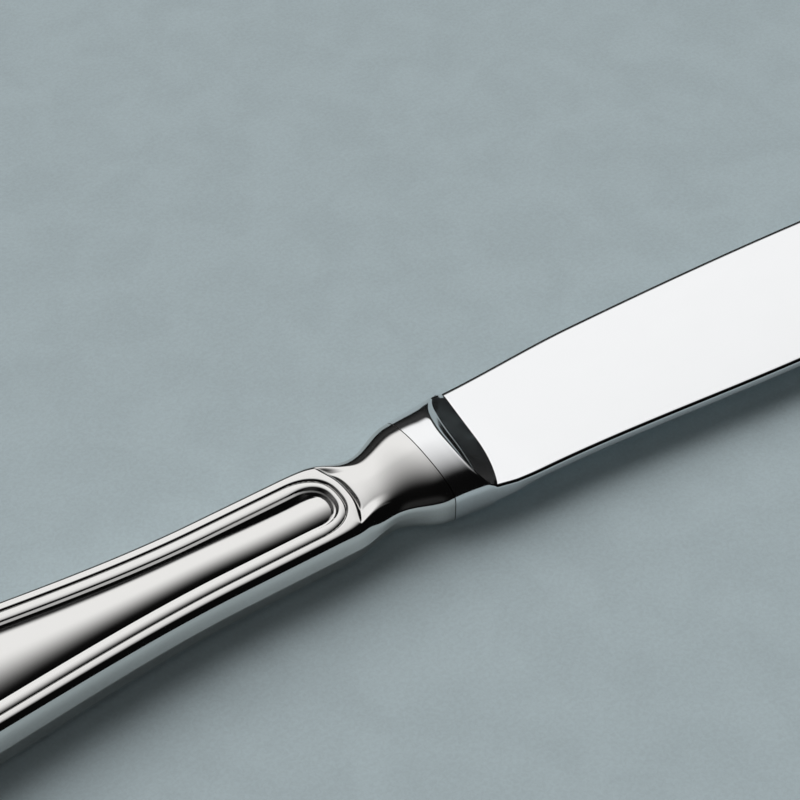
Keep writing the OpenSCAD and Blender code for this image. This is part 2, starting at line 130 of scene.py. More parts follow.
class NeckSizes(bpy.types.PropertyGroup):
    """Neck of the handle and the bolster that carries its lines on."""

    waist_width: length("Waist width", "Width of the neck at its waist", 12.0)
    waist_back: length("Waist place", "Distance from the seam back to the waist", 7.2)
    draw_length: length("Draw-in", "Length over which the sides draw in to the waist", 6.4)
    neck_power: share("Neck squareness", "Squareness of the section where the neck leaves the handle", 4.0)
    neck_thickness: length("Neck thickness", "Thickness of the neck where it leaves the border", 5.4)
    bolster_thickness: length("Bolster thickness", "Thickness of the bolster at its crest", 8.39)
    rise_back: length("Rise start", "Distance from the seam back to where the neck starts to thicken", 9.5)
    rise_length: length("Rise length", "Length over which it thickens", 12.0)
    bulge_width: length("Bulge", "Widening of each side from the waist to the bolster", 2.2)
    bulge_length: length("Bulge length", "Length of that widening", 6.6)
    flare_width: length("Flare", "Further widening of each side towards the blade", 1.55)
    flare_length: length("Flare length", "Length of the flare", 16.0)
    flare_back: length("Flare start", "Distance from the seam back to the start of the flare", 2.5)
    flank_power: share("Bluntness", "Bluntness of neck and bolster on the cutting side, 2 is an ellipse", 2.5)
    keen_power: share("Keenness", "Thinness of the bolster's cutting side at the shoulder", 0.95)
    back_power: share("Back bluntness", "Bluntness of neck and bolster on their other side", 4.8)
    seam_gap: length("Seam gap", "Gap between handle and bolster, filled by the cement's lip", 0.12)
    sheet_thickness: length("Sheet", "Sheet thickness of the handle shells", 0.9)
    hollow_rise: length("Hollow rise", "Rise of the hollow under the domed panel", 0.45)


class BladeSizes(bpy.types.PropertyGroup):
    """Shoulder and blade of the forging."""

    blade_length: length("Blade length", "Length from the seam to the tip", 136.5)
    shoulder_place: length("Shoulder", "Distance from the seam to the foot of the shoulder", 8.9)
    shoulder_skew: share("Shoulder slant", "Slant of the foot of the shoulder across the blade", 0.12)
    shoulder_bow: length("Shoulder bow", "How far the foot curves back beside the back of the blade", 1.7)
    shoulder_slope: angle("Shoulder slope", "Slope down to the blade face", 34)
    steep_share: share("Steep strip", "Part of the shoulder that falls more steeply, at its widest", 0.27)
    steep_end_share: share("Strip ends", "The same part at the two ends of the strip", 0.05)
    body_rate: share("Shoulder rate", "Slope of the rest of the shoulder as a share of its mean slope", 0.88)
    crest_round: length("Crest rounding", "Distance on each side over which the crest is rounded", 0.5)
    edge_offset: length("Edge offset", "Distance from the centre line to the cutting edge", 10.35)
    edge_bend: length("Edge bend", "Distance from the seam to where the edge starts to curve", 31.5)
    spine_offset: length("Spine offset", "Distance from the centre line to the back at its widest", 13.1)
    spine_spread: length("Spine spread", "Distance from the seam to where the back stops spreading", 67.5)
    spine_bend: length("Spine bend", "Distance from the seam to where the back curves in", 81.5)
    blade_start: length("Blade start", "Distance from the seam to where the outlines leave the bolster", 9.0)
    tip_offset: length("Tip offset", "Distance of the tip from the centre line", 4.0)
    tip_power: share("Tip squareness", "Squareness of the curve at the tip, 2 is an ellipse", 2.2)
    spine_thickness: length("Spine thickness", "Thickness of the back of the blade", 1.7)
    swell_thickness: length("Spine swell", "Extra thickness of the back beside the shoulder", 1.6)
    swell_place: length("Swell end", "Distance from the seam to where it starts to die out", 4.0)
    swell_length: length("Swell length", "Length over which that extra thickness dies out", 9.0)
    tip_thickness: length("Tip thickness", "Thickness of the back at the tip", 1.0)
    bevel_thickness: length("Bevel thickness", "Thickness at the inner end of the edge bevel", 0.7)
    bevel_width: length("Bevel width", "Width of the rounded bevel along the cutting edge", 1.3)
    edge_thickness: length("Edge thickness", "Thickness left at the cutting edge", 0.24)
    spine_radius: length("Spine radius", "Corner radius along the back of the blade", 0.45)
    fade_width: length("Tip fade", "Width of blade below which bevel and corner shrink", 5.2)
    tip_thin_share: share("Tip thinness", "Part of the thickness that is left at the very tip", 0.35)
    tang_length: length("Tang length", "Length of the tang behind the seam", 68.0)
    tang_width: length("Tang width", "Width of the tang at the bolster", 7.0)
    tang_end_width: length("Tang end width", "Width of the tang at its end", 4.5)
    tang_thickness: length("Tang thickness", "Thickness of the tang at the bolster", 2.6)
    tang_end_thickness: length("Tang end thickness", "Thickness of the tang at its end", 1.8)


class FinishSettings(bpy.types.PropertyGroup):
    """Colours and gloss of the finishes."""

    steel_colour: colour("Blade steel", "Colour of the polished blade", "#EDEEEF")
    plate_colour: colour("Handle metal", "Colour of the polished handle", "#E1E0DE")
    steel_roughness: share("Blade gloss", "Roughness of the polished blade", 0.1, 0.0, 1.0)
    plate_roughness: share("Handle gloss", "Roughness of the polished handle", 0.085, 0.0, 1.0)
    paper_colour: colour("Paper", "Colour of the sheet that the knife lies on", "#DAEBF0")


class StageSettings(bpy.types.PropertyGroup):
    """Camera and studio."""

    azimuth: angle("Azimuth", "Direction of the camera round the knife", -33.5)
    elevation: angle("Elevation", "Height of the camera as an angle", 47.5)
    distance: length("Distance", "Distance from the camera to the point it looks at", 300)
    aim_ahead: length("Aim ahead", "Distance from the seam to that point, towards the tip", 1.5)
    aim_aside: length("Aim aside", "Distance from the centre line to that point", 6.75)
    lens_length: FloatProperty(name="Lens", description="Focal length in millimetres", default=102.6)
    shift: share("Shift", "Upward shift of the frame as a share of its width", 0.04125)
    floor_width: length("Floor", "Width of the sheet that the knife lies on", 1600)


GROUPS = {
    "knife_handle": HandleSizes,
    "knife_border": BorderSizes,
    "knife_neck": NeckSizes,
    "knife_blade": BladeSizes,
    "knife_finish": FinishSettings,
    "knife_stage": StageSettings,
}


# Where the knife lies in the frame: the seam plane, the centre line and the mid-plane
def knife_origin():
    low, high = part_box("handle_front_shell")
    braze_low, braze_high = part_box("seam_braze")
    return Vector((high[0], (low[1] + high[1]) / 2, (braze_low[2] + braze_high[2]) / 2))


def joint_half():
    low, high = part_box("seam_braze")
    return (high[2] - low[2]) / 2


def smooth(t):
    t = np.clip(t, 0, 1)
    return t * t * (3 - 2 * t)


def lerp(a, b, t):
    return a + (b - a) * t


def ring_place(step):
    """Steps from the neck's end of the outline, the shorter way round, and the side they lie on."""
    step = step % RING
    return np.minimum(step, RING - step).astype(float), np.where(step <= HALF, 1.0, -1.0)


def half_turns():
    """Angles round the upper half of the forging, from the cutting side over the top."""
    return np.pi * (np.arange(FACE_COLUMNS) + 0.5) / FACE_COLUMNS


# Step counts of the surface nets along the outline, up the side and over the panel
FINE = 5
ARCH_STEPS = 18 * FINE
SIDE_STEPS = 10 * FINE
BUTT_STEPS = 8 * FINE
CUSP_STEP = 10 * FINE
RIM_STEPS = 28
CUSP_RING = 20
BAND_ROWS = 91
DOME_STEPS = 22
NECK_ROWS = 44
VAULT = 28
HALF = ARCH_STEPS + SIDE_STEPS + BUTT_STEPS
RING = 2 * HALF
COLUMNS = 2 * (CUSP_STEP + CUSP_RING)
BEVEL_COLUMNS = 14
WEDGE_COLUMNS = 84
CORNER_COLUMNS = 10
FACE_COLUMNS = BEVEL_COLUMNS + WEDGE_COLUMNS + CORNER_COLUMNS
TIP_ROWS = 64
TIP_END = 0.9995
# Angles in degrees round the section, from the cutting side, between which the steep strip runs
STRIP_FROM, STRIP_TO = 24, 135
# Power of the sine by which the strip widens between its ends
STRIP_POWER = 0.7
# How many times further the crest is rounded on the cutting side than on the other
CUTTING_ROUND = 3
# Shares along bolster, shoulder ramp and the start of the blade, close together beside the edges
BOLSTER_ROWS = [i / 36 for i in range(33)] + [0.91 + 0.01 * i for i in range(10)]
RAMP_ROWS = [i / 100 for i in range(17)] + [0.16 + 0.02 * i for i in range(1, 17)]
RAMP_ROWS += [0.54, 0.6, 0.7, 0.8, 0.9, 0.99]
FAN_ROWS = [0, 0.002, 0.01] + [i / 26 for i in range(1, 27)]
# Power that draws the rows of the neck together towards the border
NECK_ROW_POWER = 1.9
# Shares of the neck over which its fillet and the fine groove beside the border die out
FILLET_SHARE = 0.45
GROOVE_SHARE = 0.05
# Power by which the handle's outer line leaves the round end of the border for the neck's sides
SWING_POWER = 3
# Powers of the roundings in the border: outer shoulder, foot of the bead and its inner end
SHOULDER_POWER, FOOT_POWER, END_POWER = 3.0, 3.5, 6.0
# Part of the bead's crown by which it rounds down at its inner end
END_SHARE = 0.3
# Length of a step that stands in for a jump in height, in metres
JUMP = 1e-6
WELD = 1e-6
SHARP_ANGLE = 34
# Kinds of node that are used most
MATHS = "ShaderNodeMath"
RANGE = "ShaderNodeMapRange"
# Sizes of the border that its node group takes, under the same names
BORDER_INPUTS = ("shoulder_width", "groove_depth", "bead_width", "bead_crown", "bead_wall", "ledge_fall",
                 "ledge_width", "wall_run", "arch_gain", "arch_wall_run", "arch_shoulder")

# Soft lights of the painted studio: band of angles from the far horizon over the top in degrees,
# each from dark to full and back, then the same for the sine of the angle along the knife, and power
WALL_LIGHTS = [
    ((24, 30, 49, 83), (-0.2, 0.15, 0.6, 0.72), 1.06),
    ((0, 20, 20, 24), (-1.2, -1.1, 1.1, 1.2), 0.035),
    ((95, 125, 145, 175), (-1.0, -0.85, -0.55, -0.25), 0.016),
]
# The same for the side lights, which light only the sheet: in the metal the rear one would show as a grey
# patch
SIDE_LIGHTS = [
    ((12, 24, 40, 92), (-1.0, -0.85, -0.35, -0.15), 3.5),
    ((90, 110, 150, 170), (-1.0, -0.85, -0.5, -0.3), 0.32),
]
# Sine along the knife by which the lights lean for each degree away from the middle angle
LEAN = 0.004
LEAN_MIDDLE = 45.0
# Strength of the studio between its lights, their colour, and the plain ground behind the sheet
AMBIENT = 0.003
LIGHT_TINT = "#FFFFFF"
BACKDROP = "#A9B5BB"


class HandleShape:
    """The surfaces of the handle, worked out from its named sizes round the seam as the origin."""

    def __init__(self, scene):
        self.h = scene.knife_handle
        self.b = scene.knife_border
        self.n = scene.knife_neck
        low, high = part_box("handle_front_shell")
        self.reach = high[0] - low[0] - self.h.wide_back
        self.joint = joint_half()
        self.shoulder = scene.knife_blade.shoulder_place
        self.border_width = (self.b.rim_in + self.b.shoulder_width + self.b.bead_width
                             + self.b.ledge_width + 2 * self.b.wall_run)

    def widen(self, x):
        return smooth((-self.h.slim_back - x) / (self.h.wide_back - self.h.slim_back))

    def half_width(self, x):
        return lerp(self.h.slim_width, self.h.butt_width, self.widen(x)) / 2

    def half_thickness(self, x):
        return lerp(self.h.slim_thickness, self.h.butt_thickness, self.widen(x)) / 2

    def dome_rise(self, x):
        """Height of the domed panel over its edge, on the centre line."""
        crown = lerp(self.h.crown_share, self.h.butt_crown_share, self.widen(x) ** 2)
        return crown * (self.half_width(x) - self.border_width)

    def panel_top(self, x):
        """Height of the domed panel on the centre line, which sinks towards the arch."""
        sink = self.b.arch_sink * smooth((x + self.h.border_back) / self.b.sink_length + 1)
        return self.half_thickness(x) - self.b.panel_drop - sink + self.dome_rise(x)

    def panel_rail(self, step):
        """Edge of the panel, which runs out level to the arch like a cylinder that is cut off."""
        edge = self.panel_edge(step)
        x, y = edge[:, 0], edge[:, 1]
        across = np.where(x > -self.h.border_back, y / (self.half_width(x) - self.border_width), 1)
        return np.stack([x, y, self.panel_top(x) - self.dome_rise(x) * across ** 2], -1)

    def outline(self, step, inset, power=None):
        """Points of the outline at the given steps from the neck's end, moved in by inset."""
        h, e = self.h, 2 / (power or self.h.arch_power)
        k, side = ring_place(step)
        a = np.radians(90) * np.clip(k / ARCH_STEPS, 0, 1)
        c = np.radians(90) * np.clip((k - ARCH_STEPS - SIDE_STEPS) / BUTT_STEPS, 0, 1)
        along = lerp(-h.border_back, -h.wide_back, np.clip((k - ARCH_STEPS) / SIDE_STEPS, 0, 1))
        x = np.where(k <= ARCH_STEPS, -h.border_back + (h.border_reach - inset) * np.abs(np.cos(a)) ** e,
                     np.where(k <= ARCH_STEPS + SIDE_STEPS, along,
                              -h.wide_back - (self.reach - inset) * np.abs(np.sin(c)) ** e))
        y = np.where(k <= ARCH_STEPS, (h.slim_width / 2 - inset) * np.abs(np.sin(a)) ** e,
                     np.where(k <= ARCH_STEPS + SIDE_STEPS, self.half_width(along) - inset,
                              (h.butt_width / 2 - inset) * np.abs(np.cos(c)) ** e))
        return np.stack([x, y * side], -1)

    def panel_edge(self, step):
        return self.outline(step, self.border_width, self.h.panel_power)

    def neck_half(self, x):
        n = self.n
        return (n.waist_width / 2 + n.bulge_width * smooth((x + n.waist_back) / n.bulge_length)
                + n.flare_width * smooth((x + n.flare_back) / n.flare_length)
                + (self.h.slim_width - n.waist_width) / 2 * smooth((-x - n.waist_back) / n.draw_length))

    def neck_high(self, x):
        n = self.n
        return lerp(n.neck_thickness, n.bolster_thickness, smooth((x + n.rise_back) / n.rise_length)) / 2

    def roundness(self, x):
        n = self.n
        return lerp(1, 2 / n.neck_power, smooth((-x - n.waist_back) / n.draw_length))

    def flank(self, x, side):
        """Power that the section's height follows, on the cutting side where side is positive."""
        n = self.n
        blunt = np.where(side > 0, 2 / n.flank_power, 2 / n.back_power)
        return lerp(blunt, 1, smooth((-x - n.waist_back) / n.draw_length))

    def neck_point(self, x, turn):
        """A point of the neck or bolster at the angle turn, from the cutting side over the top."""
        c, s = np.cos(turn), np.clip(np.sin(turn), 0, 1)
        e = self.roundness(x)
        last = np.where(c > 0, self.n.keen_power, 2 / self.n.back_power)
        power = e * lerp(self.flank(x, c), last, smooth(x / self.shoulder))
        return np.stack([x + 0 * turn, self.neck_half(x) * np.sign(c) * np.abs(c) ** e,
                         self.neck_high(x) * s ** power], -1)

    def neck_turn(self, p):
        """Angle at which neck_point gives the point p of the section."""
        x, y, z = p[..., 0], p[..., 1], p[..., 2]
        e = self.roundness(x)
        up = np.clip(z / self.neck_high(x), 0, 1) ** (1 / e / self.flank(x, y))
        out = np.clip(np.abs(y) / self.neck_half(x), 0, 1) ** (1 / e)
        return np.arctan2(up, np.sign(y) * out)

    def neck_top(self, p):
        """Height of the section over the point p."""
        x, y = p[..., 0], p[..., 1]
        e = self.roundness(x)
        t = np.clip(np.abs(y) / self.neck_half(x), 0, 1)
        return self.neck_high(x) * (1 - t ** (2 / e)) ** (e * self.flank(x, y) / 2)

    def side_line(self, step):
        """Outer line of the handle, whose sides run on past the round end of the border."""
        p = self.outline(step, 0)
        k, side = ring_place(step)
        x = p[..., 0] + self.h.side_reach * (ARCH_STEPS - k) / (ARCH_STEPS - CUSP_STEP)
        drawn = np.stack([x, self.neck_half(x) * side], -1)
        cusp = self.outline(np.array([CUSP_STEP]), 0)[0]
        cusp_x = cusp[0] + self.h.side_reach
        gap = np.array([cusp_x, self.neck_half(cusp_x)]) - cusp
        near = p + np.stack([gap[0] + 0 * k, gap[1] * side], -1) * ((k / CUSP_STEP) ** SWING_POWER)[..., None]
        return np.where((k >= ARCH_STEPS)[..., None], p,
                        np.where((k >= CUSP_STEP)[..., None], drawn, near))

    def side_wall(self):
        """Rings of the rounded side from the mid-plane up to the crest, each with every step."""
        step = np.arange(RING)
        k = np.minimum(step, RING - step)
        rim = lerp(self.outline(step, 0), self.panel_edge(step), self.b.rim_in / self.border_width)
        outer = self.side_line(step)
        top = self.half_thickness(self.outline(step, 0)[:, 0])
        e = 2 / self.b.rim_power
        a = np.radians(90) * np.arange(RIM_STEPS + 1)[:, None] / RIM_STEPS
        fall = lerp(np.abs(np.cos(a)) ** e, 1 - np.sin(a) ** e, self.b.draft_share)
        fall[-1] = 0
        plan = lerp(rim[None], outer[None], fall[..., None])
        z = top[None] * np.sin(a) ** e
        foot = np.concatenate([plan[CUSP_RING], z[CUSP_RING][:, None]], -1)
        low = lerp(self.neck_top(foot) - self.b.step_drop, foot[:, 2], smooth(k / CUSP_STEP) ** 2)
        squeezed = top - (top - low) * (top - z) / (top - foot[:, 2])
        z = np.where((k < CUSP_STEP)[None], squeezed, z)
        z[0] = self.joint
        return np.concatenate([plan, z[..., None]], -1)

    def neck_net(self, wall):
        """Rows of the neck, from the foot of the border to an even section at the seam."""
        v = np.arange(COLUMNS + 1)
        ring = np.minimum(np.minimum(v, CUSP_RING), COLUMNS - v)
        step = np.clip(CUSP_STEP + CUSP_RING - v, -CUSP_STEP, CUSP_STEP)
        start = wall[ring, step % RING]
        first = self.neck_turn(start)
        near_side = smooth((np.abs(step) - CUSP_STEP / 2) * 2 / CUSP_STEP)
        rows = [start]
        for k in range(1, NECK_ROWS + 1):
            u = (k / NECK_ROWS) ** NECK_ROW_POWER
            x = start[:, 0] * (1 - u)
            turn = lerp(first, np.pi * v / COLUMNS, smooth(u))
            w = lerp(np.clip(1 - u / GROOVE_SHARE, 0, 1) ** 2, 1 - smooth(u / FILLET_SHARE), near_side)
            row = self.neck_point(x, turn) + w[:, None] * (start - self.neck_point(start[:, 0], first))
            row[:, 0] = x
            row[0, 2] = row[-1, 2] = self.joint
            rows.append(row)
        return np.array(rows)

    def joint_lines(self, wall, neck):
        """Outer line of the joint on each side, from the butt to the seam, and its column in the nets."""
        step = HALF - np.arange(HALF - CUSP_STEP + 1)
        return [(np.concatenate([wall[0, side * step % RING], neck[1:, column]]), column)
                for side, column in ((1, 0), (-1, -1))]

    def hollow(self, wall, neck):
        """Rows of the hollow inside the shell, from the butt to the seam."""
        n = self.n
        step = HALF - np.arange(HALF - CUSP_STEP + 1)
        outer = wall[0, step, :2]
        inward = self.panel_edge(step) - outer
        line = outer + inward / np.linalg.norm(inward, axis=-1)[:, None] * n.sheet_thickness
        line = np.concatenate([line, neck[1:, 0, :2] - [0, n.sheet_thickness]])
        x, y = line[:, 0], line[:, 1]
        body = self.half_thickness(x) - self.b.panel_drop - n.sheet_thickness + n.hollow_rise
        butt = np.sqrt(np.clip(y / (self.h.butt_width / 2 - n.sheet_thickness), 0, None))
        body = body * np.where(x > -self.h.wide_back, 1, butt)
        high = lerp(body, self.neck_high(x) - n.sheet_thickness,
                    smooth((x + self.h.border_back) / self.h.border_reach))
        a = np.pi * np.arange(VAULT + 1) / VAULT
        z = high[:, None] * np.sin(a)
        z[:, [0, -1]] = 0
        return np.stack([x[:, None] + 0 * a, y[:, None] * np.cos(a), np.maximum(z, self.joint)], -1)


class BladeShape(HandleShape):
    """The surfaces of the forging: bolster, shoulder, blade and tang."""

    def __init__(self, scene):
        super().__init__(scene)
        self.s = scene.knife_blade

    def tip_round(self, x, bend):
        t = np.clip((x - bend) / (self.s.blade_length - bend), 0, 1)
        return np.sqrt(1 - t ** self.s.tip_power)

    def cut_y(self, x):
        s = self.s
        base = lerp(self.neck_half(s.blade_start), s.edge_offset,
                    smooth((x - s.blade_start) / (s.edge_bend - s.blade_start)))
        curved = -s.tip_offset + (base + s.tip_offset) * self.tip_round(x, s.edge_bend)
        return np.where(x < s.blade_start, self.neck_half(x), curved)

    def back_y(self, x):
        s = self.s
        base = lerp(self.neck_half(s.blade_start), s.spine_offset,
                    smooth((x - s.blade_start) / (s.spine_spread - s.blade_start)))
        curved = -s.tip_offset - (base - s.tip_offset) * self.tip_round(x, s.spine_bend)
        return np.where(x < s.blade_start, -self.neck_half(x), curved)

    def back_half(self, x):
        s = self.s
        plain = lerp(s.spine_thickness, s.tip_thickness, np.clip(x / s.blade_length, 0, 1) ** 2) / 2
        return plain + s.swell_thickness / 2 * (1 - smooth((x - s.swell_place) / s.swell_length))

    def face(self, x):
        """Points of the upper face, for rows of distances x: edge bevel, wedge, rounded back."""
        s = self.s
        x = np.broadcast_to(x, (len(x), FACE_COLUMNS))
        cut, back = self.cut_y(x), self.back_y(x)
        keep = np.clip((cut - back) / s.fade_width, 0, 1)
        w, r = s.bevel_width * keep, s.spine_radius * keep
        thick = self.back_half(x) * lerp(s.tip_thin_share, 1, keep)
        thin = np.minimum(thick, s.bevel_thickness / 2)
        j = np.arange(FACE_COLUMNS)
        bevel = j / BEVEL_COLUMNS
        wedge = (j - BEVEL_COLUMNS) / (WEDGE_COLUMNS - 1)
        turn = np.radians(90) * np.clip((j - BEVEL_COLUMNS - WEDGE_COLUMNS + 1) / CORNER_COLUMNS, 0, 1)
        y = np.where(j < BEVEL_COLUMNS, cut - w * bevel,
                     np.where(turn > 0, back + r * (1 - np.sin(turn)), lerp(cut - w, back + r, wedge)))
        z = np.where(j < BEVEL_COLUMNS, lerp(s.edge_thickness / 2, thin, 1 - (1 - bevel) ** 2),
                     np.where(turn > 0, thick - r * (1 - np.cos(turn)), lerp(thin, thick, wedge)))
        return np.stack([x, y, z], -1)

    def crest_cut(self, beyond, slope, times):
        """What the rounding takes off the crest at a distance beyond it, for the slope after it."""
        left = np.clip(times * self.s.crest_round - np.abs(beyond), 0, None)
        return slope * left ** 2 / (4 * times * self.s.crest_round)

    def upper(self):
        """Rows of the upper half, from the bolster's face over crest and shoulder to the tip."""
        s = self.s
        turn = half_turns()
        y = self.face(np.full((1, 1), s.shoulder_place))[0, :, 1]
        bow = np.minimum(y, 0) / self.neck_half(s.shoulder_place)
        foot = s.shoulder_place + s.shoulder_skew * y - s.shoulder_bow * bow ** 2
        low = self.face(foot[None])[0]
        middle = self.neck_point(np.full(FACE_COLUMNS, s.shoulder_place / 2), turn)
        drop = np.hypot(middle[:, 2] - low[:, 2], s.edge_thickness)
        crest = foot - drop / math.tan(s.shoulder_slope)
        high = self.neck_point(crest, turn)
        place = np.clip((np.degrees(turn) - STRIP_FROM) / (STRIP_TO - STRIP_FROM), 0, 1)
        spread = np.sin(np.pi * place) ** STRIP_POWER
        times = 1 + (CUTTING_ROUND - 1) * smooth((STRIP_TO / 2 - np.degrees(turn)) / STRIP_FROM)
        strip = lerp(s.steep_end_share, s.steep_share, spread)
        rate = (1 - s.body_rate * (1 - strip)) / strip
        level = smooth((middle[:, 2] - low[:, 2]) / s.spine_thickness)
        slope = level * drop / (foot - crest)
        rows = []
        for u in BOLSTER_ROWS:
            row = self.neck_point(lerp(self.n.seam_gap, crest, u), turn)
            row[:, 2] -= self.crest_cut(row[:, 0] - crest, slope, times)
            rows.append(row)
        for t in RAMP_ROWS:
            row = lerp(high, low, t)
            fall = np.where(t < strip, t * rate, lerp(strip * rate, 1, (t - strip) / (1 - strip)))
            fall = lerp(smooth(t), fall, level)
            row[:, 2] = lerp(high[:, 2], low[:, 2], fall)
            row[:, 2] -= self.crest_cut(row[:, 0] - crest, slope, times)
            rows.append(row)
        rows += [self.face(lerp(foot, s.edge_bend, u)[None])[0] for u in FAN_ROWS]
        for i in range(1, TIP_ROWS + 1):
            t = math.sin(math.radians(90) * i / TIP_ROWS) * TIP_END
            rows.append(self.face(np.full((1, 1), lerp(s.edge_bend, s.blade_length, t)))[0])
        return np.array(rows)

    def tang(self):
        """Loops of the tang, from its end to the bolster's face."""
        s = self.s
        half = half_turns()
        loops = []
        for x in (-s.tang_length, -s.tang_length / 2, self.n.seam_gap):
            t = -x / s.tang_length
            w = lerp(s.tang_width, s.tang_end_width, t) / 2
            h = lerp(s.tang_thickness, s.tang_end_thickness, t) / 2
            loops.append(np.stack([x + 0 * half, w * np.sign(np.cos(half)) * np.sqrt(np.abs(np.cos(half))),
                                   h * np.sqrt(np.sin(half))], -1))
        return np.array(loops)


class Net:
    """Collects nets of points and their faces into one closed mesh."""

    def __init__(self):
        self.points, self.faces, self.count = [], [], 0

    def add(self, points):
        """Adds points of any shape and returns their indices in the same shape."""
        index = np.arange(self.count, self.count + points[..., 0].size).reshape(points.shape[:-1])
        self.points.append(points.reshape(-1, 3))
        self.count += index.size
        return index

    def quads(self, index, keep=None):
        """Faces between the rows and columns of a grid of indices."""
        faces = np.stack([index[:-1, :-1], index[1:, :-1], index[1:, 1:], index[:-1, 1:]], -1)
        self.faces += (faces.reshape(-1, 4) if keep is None else faces[keep]).tolist()

    def build(self, name, material, angle):
        """Makes the object, with the nets welded, faces outward and edges sharp over the angle."""
        mesh = bpy.data.meshes.new(name)
        mesh.from_pydata((np.concatenate(self.points) + np.array(knife_origin())).tolist(), [], self.faces)
        work = bmesh.new()
        work.from_mesh(mesh)
        bmesh.ops.remove_doubles(work, verts=work.verts, dist=WELD)
        bmesh.ops.dissolve_degenerate(work, edges=work.edges, dist=WELD)
        unused = [vertex for vertex in work.verts if not vertex.link_faces]
        bmesh.ops.delete(work, geom=unused, context="VERTS")
        bmesh.ops.recalc_face_normals(work, faces=work.faces)
        loose = sum(not edge.is_manifold for edge in work.edges)
        if loose:
            raise RuntimeError(f"{name} has {loose} open edges")
        work.to_mesh(mesh)
        work.free()
        mesh.polygons.foreach_set("use_smooth", [True] * len(mesh.polygons))
        mesh.set_sharp_from_angle(angle=math.radians(angle))
        mesh.materials.append(material)
        piece = bpy.data.objects.new(name, mesh)
        bpy.context.scene.collection.objects.link(piece)
        return piece


def add_node(tree, kind, inputs=(), **settings):
    """Adds a node with its settings and inputs, where a node stands for its first output."""
    node = tree.nodes.new(kind)
    for key, value in settings.items():
        setattr(node, key, value)
    for key, value in (inputs if isinstance(inputs, dict) else dict(enumerate(inputs))).items():
        value = value.outputs[0] if isinstance(value, bpy.types.Node) else value
        if isinstance(value, bpy.types.NodeSocket):
            tree.links.new(value, node.inputs[key])
        else:
            node.inputs[key].default_value = value
    return node


def socket_name(size):
    """Name of the socket for a size of the border, such as Bead Wall for bead_wall."""
    return size.replace("_", " ").title()


